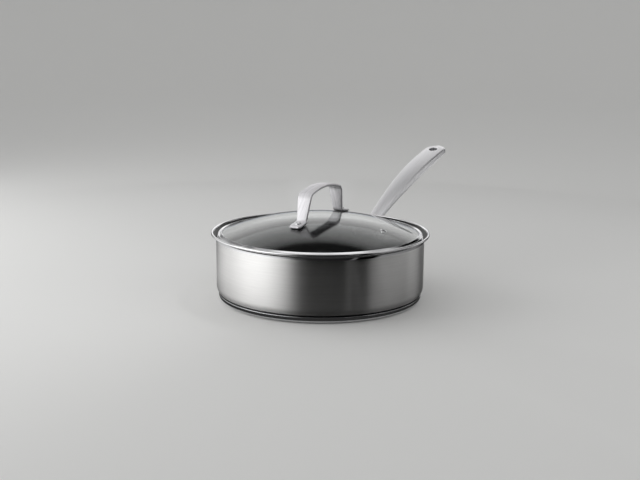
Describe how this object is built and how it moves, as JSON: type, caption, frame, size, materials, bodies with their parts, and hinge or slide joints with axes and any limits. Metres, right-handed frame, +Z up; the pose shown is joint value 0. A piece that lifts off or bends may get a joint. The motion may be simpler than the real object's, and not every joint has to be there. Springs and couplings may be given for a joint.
{
  "type": "saute pan with lid",
  "caption": "Round steel saute pan with straight sides, a capsule base, a long rising handle with a hanging hole, and a domed glass lid with a steel strap handle that lifts off.",
  "frame": {"origin": "on the vessel's axis, in the plane that the underside of the base rests on", "axes": "+Z up, along the vessel's axis; +X along the long handle, away from the vessel"},
  "size_m": [0.4644, 0.2538, 0.1451],
  "materials": {
    "vessel_steel": "satin outside with fine horizontal brushing, polished flared rim",
    "core_aluminium": "plain rolled sheet, enclosed in the base",
    "base_steel": "polished side, turned underside",
    "handle_steel": "satin brushed",
    "rivet_steel": "polished",
    "lid_glass": "clear tempered glass",
    "band_steel": "polished rolled sheet",
    "strap_steel": "satin brushed along the strap",
    "gasket_rubber": "matt silicone"
  },
  "bodies": {
    "pan": {"pan_body": "vessel_steel", "base_core": "core_aluminium", "base_cap": "base_steel", "handle_bracket": "handle_steel", "handle_rivets": "rivet_steel", "handle_upper_shell": "handle_steel", "handle_lower_shell": "handle_steel", "hanging_sleeve": "rivet_steel"},
    "lid": {"lid_glass": "lid_glass", "lid_band": "band_steel", "lid_handle": "strap_steel", "lid_rivets": "rivet_steel", "lid_upper_gaskets": "gasket_rubber", "lid_lower_gaskets": "gasket_rubber", "lid_washers": "rivet_steel", "vent_eyelet": "rivet_steel"}
  },
  "joints": [
    {"name": "lid_lift", "type": "slide", "parent": "pan", "child": "lid", "axis": [0, 0, 1], "range_m": [0, 0.12]}
  ]
}
